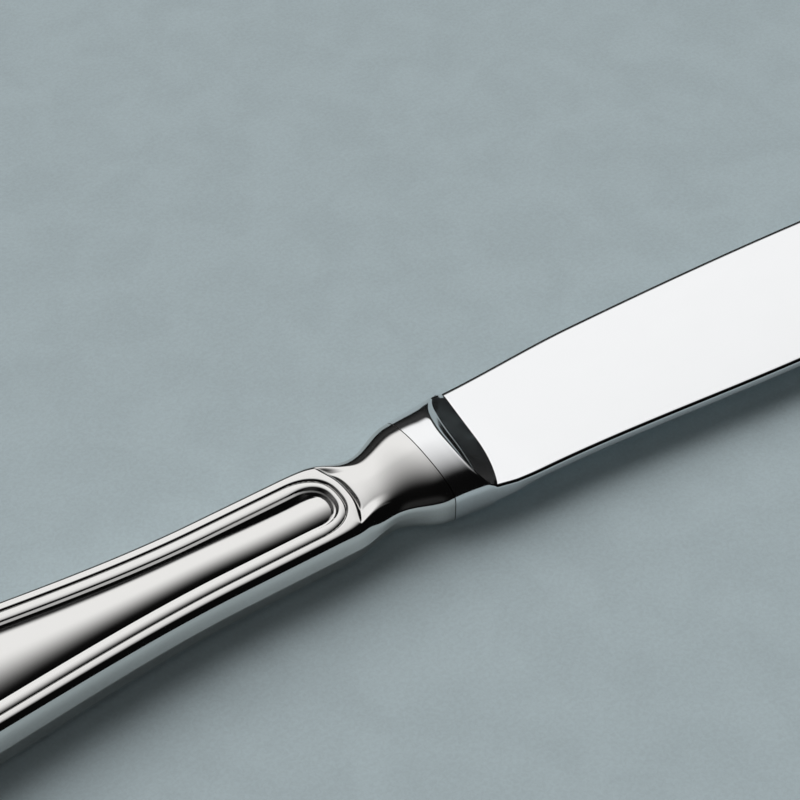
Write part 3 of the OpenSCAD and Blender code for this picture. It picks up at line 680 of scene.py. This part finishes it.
def border_tree():
    """Node group that lofts the thread border between two rails, crest ring and panel edge."""
    tree = bpy.data.node_groups.new("Thread border", "GeometryNodeTree")
    face = tree.interface
    face.new_socket("Rails", in_out="INPUT", socket_type="NodeSocketGeometry")
    for name in ("Stations", "Rows"):
        face.new_socket(name, in_out="INPUT", socket_type="NodeSocketInt")
    for name in ("Arch Start", "Arch End", *map(socket_name, BORDER_INPUTS)):
        face.new_socket(name, in_out="INPUT", socket_type="NodeSocketFloat")
    face.new_socket("Metal", in_out="INPUT", socket_type="NodeSocketMaterial")
    face.new_socket("Border", in_out="OUTPUT", socket_type="NodeSocketGeometry")
    given = add_node(tree, "NodeGroupInput").outputs
    stations, rows = given["Stations"], given["Rows"]
    deep, crown = given["Groove Depth"], given["Bead Crown"]

    # A grid with a station for each point of the rails and, from crest to panel, a share across for each row
    closed = add_node(tree, MATHS, (stations, 1.0), operation="ADD")
    grid = add_node(tree, "GeometryNodeMeshGrid",
                    {"Size X": 1.0, "Size Y": 1.0, "Vertices X": closed, "Vertices Y": rows})
    index = add_node(tree, "GeometryNodeInputIndex")
    station = add_node(tree, MATHS, (index, 0.5), operation="ADD")
    station = add_node(tree, MATHS, (station, rows), operation="DIVIDE")
    station = add_node(tree, MATHS, (station,), operation="FLOOR")
    row = add_node(tree, MATHS, (station, rows), operation="MULTIPLY")
    row = add_node(tree, MATHS, (index, row), operation="SUBTRACT")
    last_row = add_node(tree, MATHS, (rows, 1.0), operation="SUBTRACT")
    across = add_node(tree, MATHS, (row, last_row), operation="DIVIDE")
    crest = add_node(tree, MATHS, (station, stations), operation="MODULO")
    panel = add_node(tree, MATHS, (crest, stations), operation="ADD")
    position = add_node(tree, "GeometryNodeInputPosition")
    crest_at, panel_at = [
        add_node(tree, "GeometryNodeSampleIndex",
                 {"Geometry": given["Rails"], "Value": position, "Index": place},
                 data_type="FLOAT_VECTOR", domain="POINT") for place in (crest, panel)]
    ahead, _, crest_high = add_node(tree, "ShaderNodeSeparateXYZ", (crest_at,)).outputs
    panel_high = add_node(tree, "ShaderNodeSeparateXYZ", (panel_at,)).outputs[2]

    # Wall run, width of the outer shoulder and depth, which change from the sides of the handle to the arch
    run, shoulder_end, gain = [
        add_node(tree, RANGE, {"Value": ahead, "From Min": given["Arch Start"],
                               "From Max": given["Arch End"], "To Min": side, "To Max": arch},
                 interpolation_type="SMOOTHSTEP")
        for side, arch in ((given["Wall Run"], given["Arch Wall Run"]),
                           (given["Shoulder Width"], given["Arch Shoulder"]),
                           (1.0, given["Arch Gain"]))]

    # Distances from the crest at which outer shoulder, bead, first wall, ledge and last wall end
    ends = [shoulder_end]
    for width in (given["Bead Width"], run, given["Ledge Width"], run):
        ends.append(add_node(tree, MATHS, (ends[-1], width), operation="ADD"))
    inset = add_node(tree, MATHS, (across, ends[-1]), operation="MULTIPLY")
    jump_end = add_node(tree, MATHS, (ends[0], JUMP), operation="ADD")

    # Straight changes between two of those distances: over the outer shoulder, down and up over the bead,
    # from shoulder to bead at once, down the first wall and along the ledge
    shoulder, foot, far_end, inside, wall, ledge = [
        add_node(tree, RANGE, {"Value": inset, "From Min": start, "From Max": end,
                               "To Min": low, "To Max": high})
        for start, end, low, high in ((0.0, ends[0], 0.0, 1.0), (ends[0], ends[1], 1.0, 0.0),
                                      (ends[0], ends[1], 0.0, 1.0), (ends[0], jump_end, 0.0, 1.0),
                                      (ends[1], ends[2], 0.0, given["Bead Wall"]),
                                      (ends[2], ends[3], 0.0, given["Ledge Fall"]))]

    # Fall of the outer shoulder and of the bead, which rises from the groove and rounds down at its far end
    shoulder = add_node(tree, MATHS, (shoulder, SHOULDER_POWER), operation="POWER")
    shoulder = add_node(tree, MATHS, (shoulder, deep), operation="MULTIPLY")
    foot = add_node(tree, MATHS, (foot, FOOT_POWER), operation="POWER")
    far_end = add_node(tree, MATHS, (far_end, END_POWER), operation="POWER")
    far_end = add_node(tree, MATHS, (far_end, END_SHARE), operation="MULTIPLY")
    bead = add_node(tree, MATHS, (foot, far_end), operation="ADD")
    bead = add_node(tree, MATHS, (bead, crown), operation="MULTIPLY")
    bead = add_node(tree, MATHS, (bead, inside), operation="MULTIPLY")
    rise = add_node(tree, MATHS, (crown, inside), operation="MULTIPLY")
    fall = add_node(tree, MATHS, (shoulder, rise), operation="SUBTRACT")
    for further in (wall, ledge, bead):
        fall = add_node(tree, MATHS, (fall, further), operation="ADD")

    # The beads are deeper round the arch than along the sides, and the last wall ends on the panel's rail
    left = add_node(tree, MATHS, (crown, 1 - END_SHARE), operation="MULTIPLY")
    left = add_node(tree, MATHS, (deep, left), operation="SUBTRACT")
    low = add_node(tree, MATHS, (given["Bead Wall"], given["Ledge Fall"]), operation="ADD")
    low = add_node(tree, MATHS, (left, low), operation="ADD")
    low = add_node(tree, MATHS, (low, gain), operation="MULTIPLY")
    drop = add_node(tree, MATHS, (crest_high, panel_high), operation="SUBTRACT")
    rest = add_node(tree, MATHS, (drop, low), operation="SUBTRACT")
    last = add_node(tree, RANGE, {"Value": inset, "From Min": ends[3], "From Max": ends[4],
                                  "To Min": 0.0, "To Max": rest})
    fall = add_node(tree, MATHS, (fall, gain), operation="MULTIPLY")
    fall = add_node(tree, MATHS, (fall, last), operation="ADD")
    lofted = add_node(tree, "ShaderNodeMix", {0: across, 4: crest_at, 5: panel_at}, data_type="VECTOR")
    height = add_node(tree, MATHS, (across, drop), operation="MULTIPLY")
    height = add_node(tree, MATHS, (height, fall), operation="SUBTRACT")
    sunk = add_node(tree, "ShaderNodeCombineXYZ", {"Z": height})
    place = add_node(tree, "ShaderNodeVectorMath", (lofted.outputs[1], sunk), operation="ADD")
    shaped = add_node(tree, "GeometryNodeSetPosition", {"Geometry": grid, "Position": place})
    real = add_node(tree, "GeometryNodeRealizeInstances", {"Geometry": shaped})
    done = add_node(tree, "GeometryNodeSetMaterial", {"Geometry": real, "Material": given["Metal"]})
    add_node(tree, "NodeGroupOutput", {"Border": done})
    return tree


def thread_border(shape, crest, panel, metal):
    """Runs the border's node group on its two rails and returns its points, one row for each step."""
    rails = bpy.data.meshes.new("border rails")
    rails.from_pydata(np.concatenate([crest, panel]).tolist(), [], [])
    holder = bpy.data.objects.new("border rails", rails)
    bpy.context.scene.collection.objects.link(holder)
    tree = border_tree()
    modifier = holder.modifiers.new("Thread border", "NODES")
    modifier.node_group = tree
    values = {socket_name(size): getattr(shape.b, size) for size in BORDER_INPUTS}
    values |= {"Stations": RING, "Rows": BAND_ROWS, "Arch Start": -shape.h.border_back,
               "Arch End": -shape.h.border_back + shape.h.border_reach, "Metal": metal}
    for socket in tree.interface.items_tree:
        if socket.name in values:
            modifier[socket.identifier] = values[socket.name]
    bpy.context.view_layer.update()
    graph = bpy.context.evaluated_depsgraph_get()
    made = bpy.data.meshes.new_from_object(holder.evaluated_get(graph))
    points = np.empty(len(made.vertices) * 3)
    made.vertices.foreach_get("co", points)
    bpy.data.objects.remove(holder)
    bpy.data.meshes.remove(rails)
    bpy.data.meshes.remove(made)
    return points.reshape(RING + 1, BAND_ROWS, 3)


def shell_net(scene, metal, mirrored):
    """The closed net of one handle shell: side, border, panel, neck, hollow and joint faces."""
    shape = HandleShape(scene)
    h = shape.h
    net = Net()
    flip = np.array([1, 1, -1 if mirrored else 1])
    step = np.arange(RING)

    wall = shape.side_wall()
    closed = np.concatenate([wall, wall[:, :1]], 1)
    keep = np.ones((RIM_STEPS, RING), bool)
    keep[:CUSP_RING, :CUSP_STEP] = False
    keep[:CUSP_RING, RING - CUSP_STEP:] = False
    net.quads(net.add(closed * flip), keep)

    crest = wall[RIM_STEPS]
    band = thread_border(shape, crest, shape.panel_rail(step), metal)
    band[:, 0] = closed[RIM_STEPS]
    net.quads(net.add(band * flip))

    edge = band[:, -1]
    middle = np.stack([np.clip(edge[:, 0], -h.wide_back, -h.border_back), 0 * edge[:, 0]], -1)
    summit = shape.panel_top(middle[:, 0])
    rows = []
    for t in np.linspace(0, 1, DOME_STEPS + 1):
        plan = lerp(edge[:, :2], middle, t)
        rows.append(np.concatenate([plan, lerp(edge[:, 2], summit, 1 - (1 - t) ** 2)[:, None]], -1))
    net.quads(net.add(np.array(rows) * flip))

    neck = shape.neck_net(wall)
    neck_index = net.add(neck * flip)
    net.quads(neck_index)

    hollow = shape.hollow(wall, neck)
    hollow_index = net.add(hollow * flip)
    net.quads(hollow_index)
    for outer, column in shape.joint_lines(wall, neck):
        net.quads(np.stack([net.add(outer * flip), hollow_index[:, column]], -1))
    seam, inner = neck_index[-1], hollow_index[-1]
    parts = COLUMNS // VAULT
    for v in range(VAULT):
        around = [seam[v * parts + i] for i in range(parts + 1)]
        net.faces += [[int(around[i]), int(around[i + 1]), int(inner[v])] for i in range(parts)]
        net.faces.append([int(around[-1]), int(inner[v + 1]), int(inner[v])])
    return net


def braze_net(scene):
    """The closed net of the brazed joint: a flat strip between the shells, flush with their sides."""
    shape = HandleShape(scene)
    wall = shape.side_wall()
    neck = shape.neck_net(wall)
    hollow = shape.hollow(wall, neck)
    halves = [np.stack([outer, hollow[:, column]], 1)[..., :2]
              for outer, column in shape.joint_lines(wall, neck)]
    path = np.concatenate([halves[0][::-1], halves[1][1:]])
    z = np.full(len(path), shape.joint)
    corner_signs = [(0, 1), (0, -1), (1, -1), (1, 1), (0, 1)]
    loops = np.stack([np.concatenate([path[:, i], (z * sign)[:, None]], 1) for i, sign in corner_signs], 1)
    net = Net()
    index = net.add(loops)
    net.quads(index)
    net.faces += [index[0, :4].tolist(), index[-1, :4].tolist()]
    return net


def forging_net(scene):
    """The closed net of blade, bolster and tang."""
    shape = BladeShape(scene)
    upper = np.concatenate([shape.tang(), shape.upper()])
    lower = upper[:, ::-1] * np.array([1, 1, -1])
    loops = np.concatenate([upper, lower, upper[:, :1]], 1)
    net = Net()
    index = net.add(loops)
    net.quads(index)
    for end in (index[0], index[-1]):
        for j in range(FACE_COLUMNS - 1):
            net.faces.append([int(end[j]), int(end[j + 1]), int(end[2 * FACE_COLUMNS - 2 - j]),
                              int(end[2 * FACE_COLUMNS - 1 - j])])
    return net


def new_material(name, inputs):
    """A material with an empty node tree and a Principled shader, whose inputs it sets."""
    material = bpy.data.materials.new(name)
    material.use_nodes = True
    tree = material.node_tree
    tree.nodes.clear()
    shader = add_node(tree, "ShaderNodeBsdfPrincipled", inputs)
    add_node(tree, "ShaderNodeOutputMaterial", {"Surface": shader.outputs[0]})
    return material, tree, shader


def object_noise(tree, size, detail, distortion=0.0, stretch=(1.0, 1.0, 1.0)):
    """Noise over the object's own coordinates, with features of the given size in metres."""
    place = add_node(tree, "ShaderNodeTexCoord").outputs["Object"]
    scaled = add_node(tree, "ShaderNodeMapping", {"Vector": place, "Scale": stretch}).outputs[0]
    return add_node(tree, "ShaderNodeTexNoise",
                    {"Vector": scaled, "Scale": 1 / size, "Detail": detail,
                     "Distortion": distortion}).outputs["Fac"]


def polished_metal(name, tint, gloss, film):
    """Metal polished to a mirror: roughness that varies by about a hundredth where it was handled."""
    material, tree, shader = new_material(name, {"Base Color": tint, "Metallic": 1.0})
    fine = object_noise(tree, size=6 * MM, detail=3.0, distortion=0.4, stretch=(1.0, 2.5, 2.5))
    rough = add_node(tree, RANGE, {"Value": fine, "From Min": 0.3, "From Max": 0.7,
                                   "To Min": gloss - film, "To Max": gloss + film},
                     interpolation_type="SMOOTHSTEP")
    tree.links.new(rough.outputs[0], shader.inputs["Roughness"])
    return material


def mirror_steel(finish):
    """Mirror-polished stainless steel of the blade."""
    return polished_metal("mirror-polished stainless steel", finish.steel_colour,
                          finish.steel_roughness, film=0.012)


def white_metal(finish):
    """Buffed white metal of the stamped handle."""
    return polished_metal("buffed white metal", finish.plate_colour, finish.plate_roughness, film=0.01)


def set_cement():
    """Matt set cement, grey-black and slightly grainy."""
    material, tree, shader = new_material("matt set cement", {"Roughness": 0.8})
    grain = object_noise(tree, size=0.3 * MM, detail=4.0)
    dark, pale = hex_colour("#37332F"), hex_colour("#4C4741")
    tint = add_node(tree, "ShaderNodeMix", {0: grain, 6: dark, 7: pale}, data_type="RGBA")
    tree.links.new(tint.outputs[2], shader.inputs["Base Color"])
    return material


def silver_braze():
    """Polished silver brazing alloy, slightly yellower than the white metal round it."""
    inputs = {"Base Color": hex_colour("#DEDCD4"), "Metallic": 1.0, "Roughness": 0.12}
    return new_material("polished silver brazing alloy", inputs)[0]


def matt_paper(finish):
    """Matt tinted paper with a fine fibre and a faint mottle."""
    material, tree, shader = new_material("matt tinted paper",
                                          {"Roughness": 0.9, "Specular IOR Level": 0.2})
    fibre = object_noise(tree, size=0.5 * MM, detail=5.0, distortion=0.6)
    mottle = object_noise(tree, size=9 * MM, detail=3.0, distortion=0.5)
    both = [add_node(tree, RANGE, {"Value": noise, "From Min": start, "From Max": end,
                                   "To Min": 0.0, "To Max": most}, interpolation_type="SMOOTHSTEP")
            for noise, start, end, most in ((fibre, 0.25, 0.75, 0.6), (mottle, 0.3, 0.7, 0.4))]
    both = add_node(tree, MATHS, both, operation="ADD")
    dark, pale = ([c * strength for c in finish.paper_colour[:3]] + [1] for strength in (0.93, 1.07))
    tint = add_node(tree, "ShaderNodeMix", {0: both, 6: dark, 7: pale}, data_type="RGBA")
    tree.links.new(tint.outputs[2], shader.inputs["Base Color"])
    bump = add_node(tree, "ShaderNodeBump", {"Strength": 0.25, "Distance": 0.05 * MM, "Height": fibre})
    tree.links.new(bump.outputs[0], shader.inputs["Normal"])
    return material


def studio_world():
    """Painted studio: one broad soft light on the far side, smaller ones, and dark round them."""
    world = bpy.data.worlds.new("soft studio")
    bpy.context.scene.world = world
    world.use_nodes = True
    tree = world.node_tree
    tree.nodes.clear()
    way = add_node(tree, "ShaderNodeTexCoord").outputs["Generated"]
    x, y, z = add_node(tree, "ShaderNodeSeparateXYZ", {0: way}).outputs
    around = add_node(tree, MATHS, (z, y), operation="ARCTAN2")
    around = add_node(tree, MATHS, (around, math.degrees(1)), operation="MULTIPLY")
    lean = add_node(tree, MATHS, (around, LEAN_MIDDLE), operation="SUBTRACT")
    lean = add_node(tree, MATHS, (lean, LEAN), operation="MULTIPLY")
    along = add_node(tree, MATHS, (x, lean), operation="SUBTRACT")

    def window(value, a, b, c, d):
        """1 between b and c, falling softly to 0 at a and d."""
        sides = [add_node(tree, RANGE, {"Value": value, "From Min": start, "From Max": end,
                                        "To Min": low, "To Max": high}, interpolation_type="SMOOTHSTEP")
                 for start, end, low, high in ((a, b, 0.0, 1.0), (c, d, 1.0, 0.0))]
        return add_node(tree, MATHS, sides, operation="MULTIPLY")

    def painted(lights, total):
        """Adds the lights of a list to the total."""
        for band, reach, power in lights:
            both = (window(around, *band), window(along, *reach))
            light = add_node(tree, MATHS, both, operation="MULTIPLY")
            light = add_node(tree, MATHS, (light, power), operation="MULTIPLY")
            total = add_node(tree, MATHS, (light, total), operation="ADD")
        return total

    path = add_node(tree, "ShaderNodeLightPath").outputs
    off_metal = add_node(tree, MATHS, (1.0, path["Is Glossy Ray"]), operation="SUBTRACT")
    total = add_node(tree, MATHS, (painted(SIDE_LIGHTS, 0.0), off_metal), operation="MULTIPLY")
    total = add_node(tree, MATHS, (painted(WALL_LIGHTS, total), AMBIENT), operation="ADD")
    glow = add_node(tree, "ShaderNodeBackground", {"Color": hex_colour(LIGHT_TINT), "Strength": total})
    plain = add_node(tree, "ShaderNodeBackground", {"Color": hex_colour(BACKDROP), "Strength": 1.0})
    mixed = add_node(tree, "ShaderNodeMixShader", (path["Is Camera Ray"], glow, plain))
    add_node(tree, "ShaderNodeOutputWorld", {"Surface": mixed})


class KNIFE_OT_handle(bpy.types.Operator):
    """Builds both stamped shells of the handle"""

    bl_idname = "knife.handle"
    bl_label = "Handle shells"

    def execute(self, context):
        scene = context.scene
        metal = white_metal(scene.knife_finish)
        for name, node, mirrored in (("handle_front", "handle_front_shell", False),
                                     ("handle_back", "handle_back_shell", True)):
            piece = shell_net(scene, metal, mirrored).build(name, metal, SHARP_ANGLE)
            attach(piece, "root")
            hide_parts(node)
        return {"FINISHED"}


class KNIFE_OT_blade(bpy.types.Operator):
    """Builds the forging: blade, shoulder, bolster and tang"""

    bl_idname = "knife.blade"
    bl_label = "Blade and bolster"

    def execute(self, context):
        scene = context.scene
        piece = forging_net(scene).build("forged_blade", mirror_steel(scene.knife_finish), SHARP_ANGLE)
        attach(piece, "root")
        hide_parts("blade")
        return {"FINISHED"}


class KNIFE_OT_inside(bpy.types.Operator):
    """Builds the brazed joint and gives the cement its finish"""

    bl_idname = "knife.inside"
    bl_label = "Cement and brazing"

    def execute(self, context):
        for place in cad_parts["tang_cement"].material_slots:
            place.material = set_cement()
        piece = braze_net(context.scene).build("brazed_joint", silver_braze(), SHARP_ANGLE)
        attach(piece, "root")
        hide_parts("seam_braze")
        return {"FINISHED"}


class KNIFE_OT_stage(bpy.types.Operator):
    """Sets the floor, the studio light and the camera"""

    bl_idname = "knife.stage"
    bl_label = "Stage"

    def execute(self, context):
        scene = context.scene
        stage = scene.knife_stage
        half = stage.floor_width / 2
        sheet = bpy.data.meshes.new("floor")
        sheet.from_pydata([(-half, -half, 0), (half, -half, 0), (half, half, 0), (-half, half, 0)], [],
                          [(0, 1, 2, 3)])
        sheet.materials.append(matt_paper(scene.knife_finish))
        floor = bpy.data.objects.new("floor", sheet)
        scene.collection.objects.link(floor)
        studio_world()

        lens = bpy.data.cameras.new("camera")
        lens.lens = stage.lens_length
        lens.shift_y = stage.shift
        lens.clip_start = 10 * MM
        camera = bpy.data.objects.new("camera", lens)
        scene.collection.objects.link(camera)
        scene.camera = camera
        aim = knife_origin() + Vector((stage.aim_ahead, stage.aim_aside, 0))
        away = Vector((math.sin(stage.azimuth) * math.cos(stage.elevation),
                       -math.cos(stage.azimuth) * math.cos(stage.elevation), math.sin(stage.elevation)))
        camera.location = aim + away * stage.distance
        camera.rotation_euler = away.to_track_quat("Z", "Y").to_euler()
        scene.view_settings.view_transform = "Standard"
        return {"FINISHED"}


OPERATORS = (KNIFE_OT_stage, KNIFE_OT_handle, KNIFE_OT_blade, KNIFE_OT_inside)


class KNIFE_PT_panel(bpy.types.Panel):
    """Lists the sizes and the steps that build the knife."""

    bl_label = "Table knife"
    bl_idname = "KNIFE_PT_panel"
    bl_space_type = "VIEW_3D"
    bl_region_type = "UI"
    bl_category = "Table knife"

    def draw(self, context):
        for operator in OPERATORS:
            self.layout.operator(operator.bl_idname)
        for group in GROUPS:
            box = self.layout.box()
            values = getattr(context.scene, group)
            for name in values.bl_rna.properties.keys():
                if name not in ("rna_type", "name"):
                    box.prop(values, name)


def register():
    for group in GROUPS.values():
        bpy.utils.register_class(group)
    for name, group in GROUPS.items():
        setattr(bpy.types.Scene, name, PointerProperty(type=group))
    for operator in OPERATORS:
        bpy.utils.register_class(operator)
    bpy.utils.register_class(KNIFE_PT_panel)


def unregister():
    bpy.utils.unregister_class(KNIFE_PT_panel)
    for operator in reversed(OPERATORS):
        bpy.utils.unregister_class(operator)
    for name in GROUPS:
        delattr(bpy.types.Scene, name)
    for group in reversed(list(GROUPS.values())):
        bpy.utils.unregister_class(group)


def main():
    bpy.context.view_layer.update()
    register()
    bpy.ops.knife.stage()
    bpy.ops.knife.handle()
    bpy.ops.knife.blade()
    bpy.ops.knife.inside()


if __name__ == "__main__":
    main()
